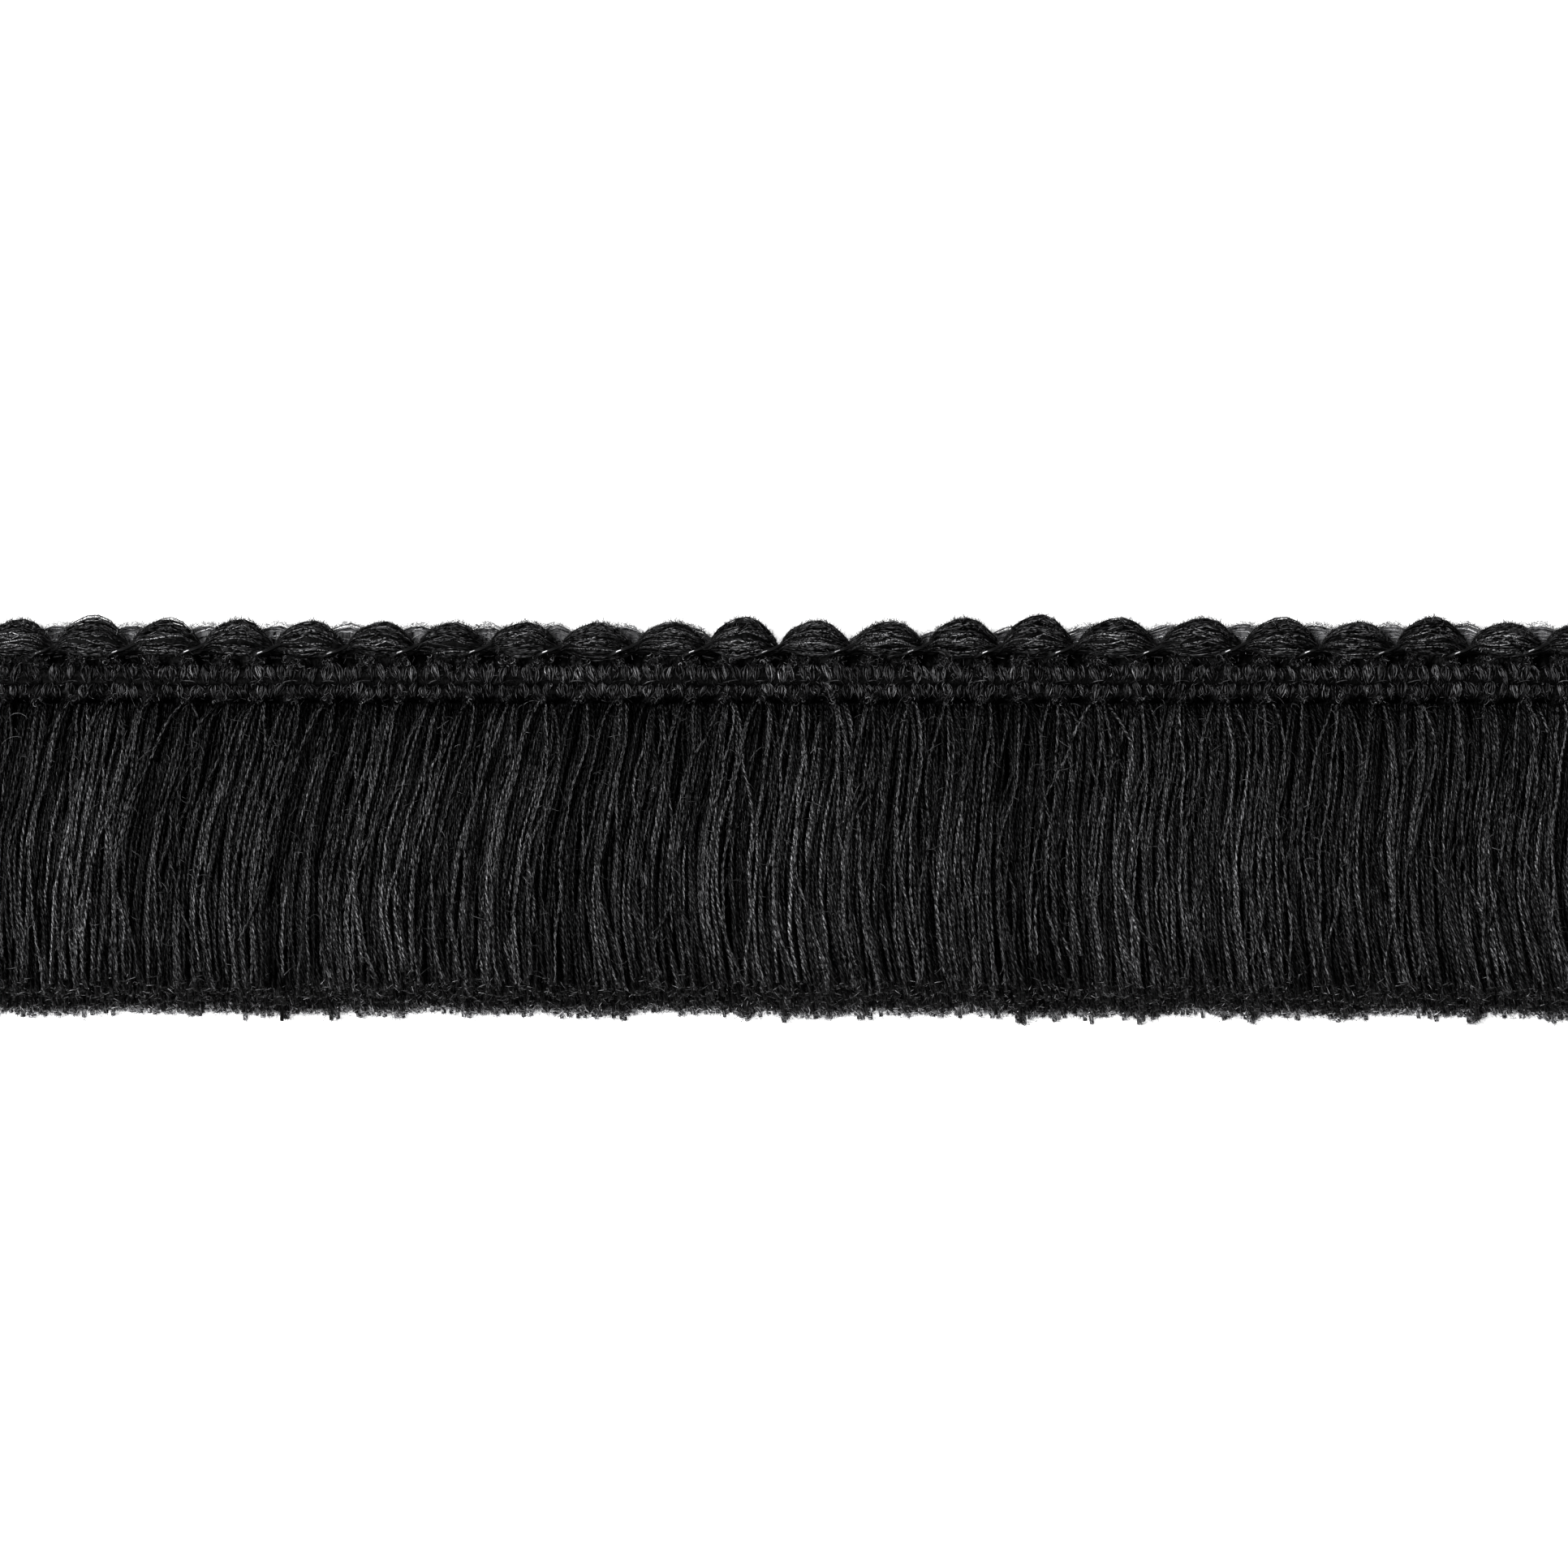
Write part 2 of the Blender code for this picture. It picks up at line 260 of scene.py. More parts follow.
def spun_finish(name, light, streak, gap, relief=0.04 * MM, twist=0.0, rough=0.5, gloss=0.03, dimmest=0.02):
    """Spun black fibre. The colour is the light tone times the strand's own tone, times the plies'
    wave |cos(2 pi (turn - along / twist))|^1.2 where it is twisted, painted shade in the crease
    between the plies, times the 1.3th power of noise drawn out along the strand and cut off to the
    dimmest share below the gap level, which leaves thin light fibres on black: the fibres' grain,
    with painted highlights on them. The streak is the noise's pace round the strand and along it."""
    finish = bpy.data.materials.new(name)
    finish.use_nodes = True
    tree = finish.node_tree
    shader = tree.nodes["Principled BSDF"]
    place = wire(tree, "ShaderNodeUVMap", {}, uv_map="strand")["UV"]
    split = wire(tree, "ShaderNodeSeparateXYZ", {0: place})
    tone = wire(tree, "ShaderNodeAttribute", {}, attribute_name="tone")["Fac"]
    turns = split[0]
    height = None
    if twist:
        turns = reckon(tree, "SUBTRACT", split[0], reckon(tree, "DIVIDE", split[1], twist))
        angle = reckon(tree, "MULTIPLY", turns, 2.0 * math.pi)
        height = reckon(tree, "ABSOLUTE", reckon(tree, "COSINE", angle))
    around = reckon(tree, "MULTIPLY", turns, streak[0])
    down = reckon(tree, "MULTIPLY", split[1], streak[1])
    apart = reckon(tree, "MULTIPLY", tone, 7.0)
    drawn = wire(tree, "ShaderNodeCombineXYZ", {0: around, 1: down, 2: apart})[0]
    noise = {"Vector": drawn, "Scale": 1.0, "Detail": 1.5}
    fibre = wire(tree, "ShaderNodeTexNoise", noise, noise_dimensions="3D")[0]
    span = {"Value": fibre, "From Min": gap, "From Max": gap + STREAK_EDGE, "To Min": dimmest, "To Max": 1.0}
    grain_and_painted_highlight = wire(tree, "ShaderNodeMapRange", span)[0]
    # The light fibres are the fibres' grain, with painted highlights on them
    share = reckon(tree, "MULTIPLY", reckon(tree, "POWER", grain_and_painted_highlight, 1.3), tone)
    relief_height = fibre
    if height:
        # Painted shade in the crease between the plies
        share = reckon(tree, "MULTIPLY", share, reckon(tree, "POWER", height, 1.2))
        relief_height = reckon(tree, "ADD", height, reckon(tree, "MULTIPLY", fibre, 0.6))
    share = reckon(tree, "MULTIPLY", share, light)
    bluer = reckon(tree, "MULTIPLY", share, 1.03)
    colour = wire(tree, "ShaderNodeCombineColor", {0: share, 1: share, 2: bluer})[0]
    tree.links.new(colour, shader.inputs["Base Color"])
    bump = wire(tree, "ShaderNodeBump", {"Height": relief_height, "Distance": relief, "Strength": 1.0})[0]
    tree.links.new(bump, shader.inputs["Normal"])
    shader.inputs["Roughness"].default_value = rough
    shader.inputs["Specular IOR Level"].default_value = gloss
    return finish


def pinches_of(crowns):
    """The ties, a little left of half-way between the crowns, with one more past each end."""
    between = (crowns[1:] + crowns[:-1]) / 2.0 - TIE_SHIFT
    return np.concatenate([[crowns[0] - PUFF_PITCH / 2.0], between, [crowns[-1] + PUFF_PITCH / 2.0]])


def to_both_cuts(values, step=0.0):
    """Adds a puff past each end, so that the cuts fall inside the roving."""
    return np.concatenate([[values[0] - step], values, [values[-1] + step]])


def roving_shape(crowns, rises, sags, places=None):
    """The roving's middle height and half sizes at places along it, by default at set shares of
    each puff. Its top swells by rise * sin(pi * share^1.1)^0.62 and its base sags by three
    quarters of sag * sin(pi * share^0.9)^1.4. Round a tie, a distance d away, both slope by
    slant * d * exp(-(d / reach)^2), up to the right."""
    ties = pinches_of(crowns)
    if places is None:
        places = (ties[:-1, None] + PUFF_SHARES * np.diff(ties)[:, None]).reshape(-1)
        inside = places[np.abs(places) < HALF_LENGTH - 0.1 * MM]
        places = np.concatenate([[-HALF_LENGTH], inside, [HALF_LENGTH]])
    puff = np.clip(np.searchsorted(ties, places + 1e-9, side="right") - 1, 0, len(crowns) - 1)
    share = np.clip((places - ties[puff]) / (ties[puff + 1] - ties[puff]), 0.0, 1.0)
    swell = np.sin(np.pi * share**1.1).clip(0.0, 1.0) ** 0.62
    hang = np.sin(np.pi * share**0.9).clip(0.0, 1.0) ** 1.4
    past = np.where(share < 0.5, places - ties[puff], places - ties[puff + 1])
    slope = NECK_SLANT * past * np.exp(-((past / NECK_REACH) ** 2))
    top = NECK_TOP + swell * rises[puff] + slope
    base = NECK_BASE - 0.75 * hang * sags[puff] + slope
    deep = NECK_DEEP + swell * (PUFF_DEEP - NECK_DEEP)
    return {
        "place": places,
        "puff": puff,
        "share": share,
        "swell": swell,
        "middle": (top + base) / 2.0,
        "high": (top - base) / 2.0,
        "deep": deep,
    }


def per_puff(shape, values):
    """Values drawn for each fibre at each tie, eased from one tie to the next as s^2 (3 - 2 s)."""
    ease = shape["share"] ** 2 * (3.0 - 2.0 * shape["share"])
    return values[:, shape["puff"]] * (1.0 - ease) + values[:, shape["puff"] + 1] * ease


def fibre_tone(chance, size, middle=0.42, spread=0.75):
    """Tones with few bright fibres among many dark ones: middle * exp(spread * normal)."""
    return np.clip(middle * np.exp(spread * chance.normal(0, 1, size)), 0.02, 3.0)


def painted_see_through_light(turn, painted_glow):
    """How many times lighter the roving's tone is painted at a turn, as painted light that stands in
    for the light coming through the loose fibres on its face: 1 + glow * (2 cos(turn - 1.5) - 0.5),
    from 1 to 1 + glow."""
    return 1.0 + painted_glow * np.clip(2.0 * np.cos(turn - 1.5) - 0.5, 0.0, 1.0)


def roving_fibres(shape, depth, chance, count, oval, painted_glow=0.0):
    """Fibres from cut to cut. Each keeps a turn round the roving's oval section, which drifts
    from tie to tie, so that its height is middle + half height * cos turn, and so with depth.
    It lies between two shares of the oval. Its tone is painted lighter low in each puff, left of its
    middle, as a painted highlight, and darker on its underside, at its right end and towards the ties,
    as painted shade."""
    swell = shape["swell"]
    share = shape["share"]
    puff = shape["puff"]
    size = (count, puff.max() + 2)
    turn = 2.0 * np.pi * (np.arange(count)[:, None] + chance.uniform(0, 1, (count, 1))) / count
    drift = np.cumsum(chance.normal(0, 0.16, size), axis=1) + chance.normal(0, 0.16, size)
    turn = turn + per_puff(shape, drift)
    phase = chance.uniform(0, 2.0 * np.pi, size)[:, puff]
    waves = chance.uniform(0.6, 2.6, size)[:, puff]
    turn = turn + 0.14 * swell * np.sin(2.0 * np.pi * waves * share + phase)
    out = chance.uniform(*oval, size)[:, puff]
    loose = chance.random(size)[:, puff] > 0.96
    out = 1.0 + (out - 1.0 + 0.13 * loose) * swell
    high = shape["middle"] + out * shape["high"] * np.cos(turn)
    paths = spots(shape["place"], high, depth + out * shape["deep"] * np.sin(turn))
    paths[:, [0, -1], 0] += chance.normal(0, 0.25 * MM, (count, 2))
    thick = FIBRE_THICK[0] + swell * (FIBRE_THICK[1] - FIBRE_THICK[0]) * chance.uniform(0.6, 1.4, (count, 1))
    # Painted highlight low in the puff, and painted shade underneath and at its right end
    painted_belly_light = np.exp(-(((np.cos(turn) + 0.3) / 0.5) ** 2)) * np.exp(-(((share - 0.38) / 0.24) ** 2))
    under = np.clip(-np.cos(turn) - 0.6, 0.0, 0.4)
    painted_far_end_shade = np.exp(-(((share - 0.86) / 0.13) ** 2))
    tone = 1.2 * fibre_tone(chance, size, 0.5, 0.85).clip(0.02, 2.2)[:, puff]
    # Painted shade towards the ties, with the painted highlight and shade above
    tone = tone * (0.15 + 0.85 * swell**1.6) * (0.75 + 1.8 * painted_belly_light) * (1.0 - 0.7 * painted_far_end_shade) * (1.0 - under)
    return round_strands(paths, thick, 3, tone * painted_see_through_light(turn, painted_glow), chance)


def roving_core(shape, depth, chance, filled, tone, painted_glow=0.0):
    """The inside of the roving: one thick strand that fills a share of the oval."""
    places = shape["place"]
    sides = 14
    line = spots(places, shape["middle"], depth)[None]
    core = round_strands(line, 1.0, sides, tone, chance)
    turn = 2.0 * np.pi * np.arange(sides) / sides
    ring_y = shape["middle"][:, None] + filled * shape["high"][:, None] * np.cos(turn)
    ring_z = depth + filled * shape["deep"][:, None] * np.sin(turn)
    core["points"] = spots(places[:, None], ring_y, ring_z).reshape(-1, 3)
    # On the back roving this tone is painted lighter on its face, as painted light through loose fibres
    core["tone"] = np.tile(tone * painted_see_through_light(turn, painted_glow), len(places))
    return core


def spikes(roots, ways, lengths, thick, tone, chance):
    """Single loose fibres: each a thin closed spike from its root along its way. One whose tip
    would go below the table is cut to a fifth."""
    lengths = np.where(roots[:, 2] + ways[:, 2] * lengths < 0.0, lengths * 0.2, lengths)
    tips = roots + ways * lengths[:, None]
    helper = np.eye(3)[np.argmin(np.abs(ways), axis=1)]
    across = unit(np.cross(ways, helper))
    outward = np.cross(across, ways)
    turn = 2.0 * np.pi * np.arange(3) / 3
    ring = np.cos(turn)[:, None] * across[:, None, :] + np.sin(turn)[:, None] * outward[:, None, :]
    count = len(roots)
    points = np.concatenate([roots[:, None, :] + thick * ring, tips[:, None, :]], axis=1).reshape(-1, 3)
    faces = np.array([[0, 2, 1], [0, 1, 3], [1, 2, 3], [2, 0, 3]])
    corners = (4 * np.arange(count)[:, None, None] + faces).reshape(-1)
    begun = np.repeat(chance.uniform(0, 90, (count, 1)), len(corners) // count, axis=0)
    return {
        "points": points,
        "corners": corners,
        "sizes": np.full(4 * count, 3),
        "map": np.array([0.5, 0.0]) + begun,
        "tone": np.repeat(tone, 4),
    }


def roving_fuzz(crowns, rises, sags, depth, chance, rooted, along, tone):
    """Short fibres that stand off a roving, at random places and mostly on its top. They are
    rooted between two shares of its oval, and point outwards with some slant along it."""
    count = FUZZ_FIBRES
    shape = roving_shape(crowns, rises, sags, chance.uniform(-0.998, 0.998, count) * HALF_LENGTH)
    on_top = chance.random(count) < 0.65
    turn = np.where(on_top, chance.normal(0.07, 0.15, count), chance.uniform(-0.68, 0.68, count)) * np.pi
    out = spots(0.0, np.cos(turn) * shape["deep"], np.sin(turn) * shape["high"])
    ways = unit(unit(out) + chance.normal(0, 0.45, (count, 3)) * np.array([along, 1.0, 1.0]))
    share = chance.uniform(*rooted, count)
    high = shape["middle"] + share * shape["high"] * np.cos(turn)
    roots = spots(shape["place"], high, depth + share * shape["deep"] * np.sin(turn))
    lengths = (0.3 + 1.1 * chance.random(count) ** 2.0) * MM * (0.4 + 0.6 * shape["swell"])
    return spikes(roots, ways, lengths, FUZZ_THICK, fibre_tone(chance, count, tone), chance)


roving_finish = spun_finish("black_roving", light=0.19, streak=(2.0, 1.8), gap=0.43)
front_puffs = columns(FRONT_PUFFS)
front_crowns = to_both_cuts(front_puffs["crown_mm"] * MM, PUFF_PITCH)
front_sizes = (to_both_cuts(front_puffs["rise_mm"] * MM), to_both_cuts(front_puffs["sag_mm"] * MM))
front_shape = roving_shape(front_crowns, *front_sizes)
front_chance = np.random.default_rng(11)
lay_piece(
    "scallop_roving_front",
    [
        roving_fibres(front_shape, FRONT_MIDDLE, front_chance, count=88, oval=(0.80, 1.0)),
        # The core's tone of 0.02 is painted shade between the fibres, near black
        roving_core(front_shape, FRONT_MIDDLE, front_chance, filled=0.80, tone=0.02),
        roving_fuzz(
            front_crowns, *front_sizes, FRONT_MIDDLE, front_chance, rooted=(0.97, 1.0), along=1.6, tone=0.9
        ),
    ],
    roving_finish,
    "roving",
    "scallop_cord_front",
)


# Back scallop roving
# The same roving on the back of the heading, tied between the front ties, so that its puffs
# show behind the front ones, shifted by up to half a puff. It is looser, and the light that comes
# through its loose fibres is painted into the tone of its fibres, core and fuzz, as painted light.
BACK_MIDDLE = 1.36 * MM
BACK_SAG = 0.4 * MM
# How many times lighter the back roving's face is painted, as painted light through its fibres
BACK_PAINTED_GLOW = 9.0
BACK_DRIFT = (
    ("place_mm", "drift_mm", "rise_mm"),
    (-86.0, 3.7, 3.75),
    (-47.0, 3.5, 3.75),
    (-33.0, 3.2, 3.7),
    (-18.0, 2.4, 3.6),
    (-11.0, 1.8, 3.4),
    (-4.0, 1.0, 3.1),
    (3.5, -0.5, 3.0),
    (11.0, -1.8, 3.1),
    (26.0, -2.5, 3.3),
    (34.0, -2.8, 3.6),
    (43.0, -3.2, 3.7),
    (50.0, -3.9, 3.75),
    (86.0, -4.1, 3.75),
)

drift_table = columns(BACK_DRIFT)
back_drift = np.interp(front_puffs["crown_mm"], drift_table["place_mm"], drift_table["drift_mm"])
back_rises = np.interp(front_puffs["crown_mm"], drift_table["place_mm"], drift_table["rise_mm"])
back_crowns = to_both_cuts((front_puffs["crown_mm"] + back_drift) * MM, PUFF_PITCH)
back_sizes = (to_both_cuts(back_rises * MM), np.full(len(back_crowns), BACK_SAG))
back_shape = roving_shape(back_crowns, *back_sizes)
back_chance = np.random.default_rng(12)
loose_finish = spun_finish("loose_black_roving", light=0.075, streak=(2.0, 1.8), gap=0.30)
lay_piece(
    "scallop_roving_back",
    [
        roving_fibres(back_shape, BACK_MIDDLE, back_chance, count=42, oval=(0.66, 0.84), painted_glow=BACK_PAINTED_GLOW),
        roving_core(back_shape, BACK_MIDDLE, back_chance, filled=0.68, tone=0.30, painted_glow=BACK_PAINTED_GLOW),
        # The fuzz's tone of 3.0 is painted light, standing in for light through the loose fibres
        roving_fuzz(
            back_crowns, *back_sizes, BACK_MIDDLE, back_chance, rooted=(0.80, 1.0), along=4.0, tone=3.0
        ),
    ],
    loose_finish,
    "roving",
    "scallop_cord_back",
)


# Binding thread
# A flat loop of shiny filament thread, which comes out at the lower right of each front puff and
# climbs over the tie there, where it holds the roving down. Where it turns outwards, its middle
# filament is painted light, as a painted highlight.
THREAD_THICK = 0.06 * MM
THREAD_BESIDE = 0.09 * MM
# Each filament's place beside the middle one, and the most its painted highlight may reach
FILAMENTS = ((-1.0, 0.08), (0.0, 5.0), (1.0, 0.10))
# The thread's way past each tie; its tone column holds the painted highlight where it turns outwards
THREAD_ROUTE = (
    ("past_tie_mm", "high_mm", "deep_mm", "tone"),
    (-2.7, 2.55, 3.9, 0.03),
    (-2.2, 2.60, 4.5, 0.05),
    (-1.85, 2.66, 4.85, 0.30),
    (-1.75, 2.70, 4.95, 5.00),
    (-1.40, 2.82, 5.00, 5.00),
    (-1.30, 2.86, 4.95, 0.20),
    (-0.9, 3.05, 4.75, 0.05),
    (-0.4, 3.35, 4.60, 0.04),
    (0.2, 3.70, 4.55, 0.04),
    (0.7, 4.00, 4.45, 0.04),
    (1.1, 4.20, 4.10, 0.03),
    (1.4, 4.25, 3.50, 0.03),
)

thread_chance = np.random.default_rng(13)
route = columns(THREAD_ROUTE)
front_ties = pinches_of(front_crowns)
past_tie = np.sort(np.concatenate([np.linspace(-2.7, 1.4, 13), [-1.85, -1.75, -1.40, -1.30]]))
thread_high = np.interp(past_tie, route["past_tie_mm"], route["high_mm"]) * MM
thread_deep = np.interp(past_tie, route["past_tie_mm"], route["deep_mm"]) * MM
thread_middle = spots(front_ties[:, None] + past_tie * MM, thread_high, thread_deep)
thread_middle[:, :, 0] += thread_chance.normal(0, 0.15 * MM, (len(thread_middle), 1))
thread_middle[:, :, 1:] += thread_chance.normal(0, 0.08 * MM, (len(thread_middle), 1, 2))
thread_middle = thread_middle[np.abs(thread_middle[:, :, 0]).max(axis=1) < HALF_LENGTH]
painted_glint = np.interp(past_tie, route["past_tie_mm"], route["tone"])
filaments = []
for beside, painted_glint_cap in FILAMENTS:
    thread_paths = thread_middle + np.array([-0.5, 0.85, 0.1]) * beside * THREAD_BESIDE
    painted_glint_strength = thread_chance.uniform(0.5, 1.1, (len(thread_paths), 1))
    thread_tone = np.minimum(painted_glint, painted_glint_cap) * np.where(painted_glint > 1.0, painted_glint_strength, 1.0)
    filaments.append(round_strands(thread_paths, THREAD_THICK, 5, thread_tone, thread_chance))
thread_finish = spun_finish(
    "shiny_binding_thread", light=0.2, streak=(1.0, 0.5), gap=0.25, relief=0.01 * MM, rough=0.35, gloss=0.12
)
lay_piece("binding_thread", filaments, thread_finish, "knit_yarn")


# Heading band
# The knitted ground: two ribs of short upright stitches over a plain core, with a row of open
# stitches above and below them, two to a puff. Both faces are knitted alike.
# The ground's tone is low, near black, as painted shade between and under the stitches
BAND_SECTION = (
    ("high_mm", "deep_mm", "sink_mm", "tone"),
    (-2.2, 1.6, 0.0, 0.01),
    (-2.0, 2.5, 0.9, 0.02),
    (-1.75, 3.1, 1.6, 0.08),
    (-1.5, 3.3, 1.2, 0.12),
    (-1.25, 3.35, 0.0, 0.05),
    (-0.9, 3.5, 0.0, 0.02),
    (-0.35, 3.4, 0.0, 0.02),
    (0.12, 2.8, 0.0, 0.01),
    (0.5, 3.4, 0.0, 0.02),
    (0.95, 3.5, 0.0, 0.02),
    (1.45, 3.45, 0.0, 0.04),
    (1.75, 3.3, 0.3, 0.08),
    (2.0, 3.2, 1.7, 0.10),
    (2.5, 3.1, 1.9, 0.10),
    (2.85, 3.1, 1.7, 0.08),
    (3.3, 3.0, 1.3, 0.04),
    (3.85, 2.7, 0.5, 0.02),
    (4.2, 1.9, 0.2, 0.02),
)
BAND_BACK = 0.45 * MM
BAND_STEPS = 340
HOLE_AT_TIE = 1.15 * MM
HOLE_BETWEEN = 0.85 * MM
HOLE_BELOW = 1.3 * MM
STITCH_PITCH = 1.12 * MM
FRONT_STITCHES = 3.3 * MM
BACK_STITCHES = 0.75 * MM
TIE_LONG = 3.2 * MM
TIE_HIGH = 3.30 * MM
TIE_DEEP = 3.30 * MM
RIBS = (
    ("top_mm", "foot_mm", "slant_mm", "tone"),
    (1.88, 0.24, 0.14, 0.56),
    (-0.10, -1.45, 0.04, 0.46),
)
GROOVE_HIGH = 0.13 * MM
GROOVE_THICK = 0.05 * MM
LOOP_THICK = 0.04 * MM
HAIR_THICK = 0.022 * MM
# Groups of small loops on each post: their spread, their rows, their depth, number and tone
LOOPS = (
    ("half_wide_mm", "foot_mm", "top_mm", "deep_mm", "count", "tone"),
    (0.88, 1.65, 2.9, 3.40, 24, 0.60),
    (0.95, 2.2, 3.2, 4.45, 8, 0.50),
    (0.55, -2.3, -1.4, 3.50, 12, 0.6),
    (1.87, 0.45, 1.8, 3.85, 4, 0.6),
    (1.87, -1.3, -0.3, 3.85, 3, 0.5),
)

middles_of_puffs = (front_ties[1:] + front_ties[:-1]) / 2.0
hole_places = np.sort(np.concatenate([front_ties, middles_of_puffs + 0.25 * MM]))
hole_places = hole_places[np.abs(hole_places) < HALF_LENGTH]
post_places = (hole_places[1:] + hole_places[:-1]) / 2.0


def tie_stitches(chance):
    """The stitches that hold the roving down at its ties: one short thick strand under each, full
    in the middle and thin at both ends as 0.12 + 0.26 sin(pi * share) mm."""
    share = np.linspace(0.0, 1.0, 7)
    inside = front_ties[np.abs(front_ties) < HALF_LENGTH - 1.8 * MM]
    paths = spots(inside[:, None] + TIE_LONG * (share - 0.5), TIE_HIGH, TIE_DEEP)
    # Painted shade: their tone of 0.02, near black, is the shade under the roving's neck
    return round_strands(paths, (0.12 + 0.26 * np.sin(np.pi * share)) * MM, 6, 0.02, chance)


def openness(places, holes, half_wide):
    """How open a stitch row is: 1 in the middle of a hole, 0 on the posts between the holes."""
    away = np.abs(np.asarray(places)[..., None] - holes).min(axis=-1)
    return np.clip(2.0 - 2.0 * away / half_wide, 0.0, 1.0)


def upright_stitches(top, foot, slant, tone, face, strands, thick, chance):
    """Upright stitches side by side, each of a few fine strands that meet at both ends and part
    in between: sideways by spread * (0.35 + 0.65 sin(pi * share)), and out of the face by
    rise * sin(pi * share)^0.6 * (1 - 0.45 spread^2)."""
    count = int(2.0 * HALF_LENGTH / STITCH_PITCH)
    places = -HALF_LENGTH + (np.arange(count) + 0.5) * STITCH_PITCH + chance.normal(0, 0.17 * MM, count)
    share = np.linspace(0.0, 1.0, 5)
    tilt = slant + chance.normal(0, 0.30 * MM, count)
    tops = top + chance.normal(0, 0.13 * MM, count)
    feet = foot + chance.normal(0, 0.11 * MM, count)
    bright = fibre_tone(chance, count, tone, 0.4)
    wide = 0.5 * MM * chance.uniform(0.7, 1.3, count)
    rise = chance.uniform(0.40, 0.72, count) * MM
    bundles = []
    for strand in range(strands):
        spread = 2.0 * strand / (strands - 1) - 1.0 + chance.normal(0, 0.15, count)
        ends = chance.normal(0, 0.10 * MM, (2, count))
        lean = chance.normal(0, 0.12 * MM, count)
        across = places[:, None] + (tilt + lean)[:, None] * (share - 0.5)
        across = across + (spread * wide)[:, None] * (0.35 + 0.65 * np.sin(np.pi * share))
        high = (tops + ends[0])[:, None] + (feet + ends[1] - tops - ends[0])[:, None] * share
        out = (rise * (1.0 - 0.45 * spread**2))[:, None] * np.sin(np.pi * share) ** 0.6
        paths = spots(across, high, (FRONT_STITCHES if face > 0 else BACK_STITCHES) + face * out)
        thin = thick * chance.uniform(0.75, 1.25, (count, 1)) * (0.7 + 0.4 * np.sin(np.pi * share))
        tones = bright[:, None] * fibre_tone(chance, (count, 1), 1.0, 0.55)
        bundles.append(round_strands(paths, thin, 3, tones, chance))
    return bundles


def small_loops(half_wide, foot, top, deep, count, tone, chance):
    """Small loops that crowd the posts between the holes: open arcs of a random size and turn."""
    posts = np.repeat(post_places, count)
    total = len(posts)
    middle = spots(
        posts + chance.uniform(-half_wide, half_wide, total),
        chance.uniform(foot, top, total),
        deep + chance.normal(0, 0.14 * MM, total),
    )
    reach = chance.uniform(0.10, 0.30, (total, 1)) * MM
    start = chance.uniform(0, 2.0 * np.pi, (total, 1))
    angle = start + np.linspace(0, 1, 5) * chance.uniform(1.8, 4.2, (total, 1))
    across = unit(spots(1.0, chance.normal(0, 0.5, total), chance.normal(0, 0.5, total)))
    upward = unit(spots(chance.normal(0, 0.3, total), 1.0, chance.normal(0.3, 0.4, total)))
    paths = middle[:, None, :] + reach[:, :, None] * (
        np.cos(angle)[:, :, None] * across[:, None, :] + np.sin(angle)[:, :, None] * upward[:, None, :]
    )
    return round_strands(paths, LOOP_THICK, 3, fibre_tone(chance, (total, 1), tone, 0.7), chance)


def groove_thread(chance):
    """The fine thread that runs in the groove between the ribs and shows once at each post: a
    short bow that dips at both ends as sin(pi * share)^0.5 and climbs a little to the right."""
    share = np.linspace(0.0, 1.0, 6)
    count = len(post_places)
    length = chance.uniform(1.1, 2.0, (count, 1)) * MM
    climb = chance.normal(0.10 * MM, 0.06 * MM, (count, 1))
    across = post_places[:, None] + chance.normal(0, 0.3 * MM, (count, 1)) + length * (share - 0.5)
    deep = 3.15 * MM + 0.5 * MM * np.sin(np.pi * share).clip(0.0, 1.0) ** 0.5
    paths = spots(across, GROOVE_HIGH + climb * (share - 0.5) * 2.0, deep)
    # One post in twenty has the thread painted light, as a painted highlight
    tone = np.where(chance.random((count, 1)) > 0.95, 1.4, fibre_tone(chance, (count, 1), 0.42, 0.6))
    return round_strands(paths, GROOVE_THICK, 4, tone, chance)


def band_hairs(count, chance):
    """Loose fibres of the knit yarn, at random over the face of the band and lying across it."""
    roots = spots(
        chance.uniform(-1.0, 1.0, count) * 0.995 * HALF_LENGTH,
        chance.uniform(-2.0, 3.0, count) * MM,
        chance.uniform(3.5, 3.95, count) * MM,
    )
    ways = unit(chance.normal(0, 1, (count, 3)) * np.array([1.0, 1.0, 0.35]))
    lengths = chance.uniform(0.25, 0.9, count) * MM
    return spikes(roots, ways, lengths, HAIR_THICK, fibre_tone(chance, count, 0.8, 0.6), chance)


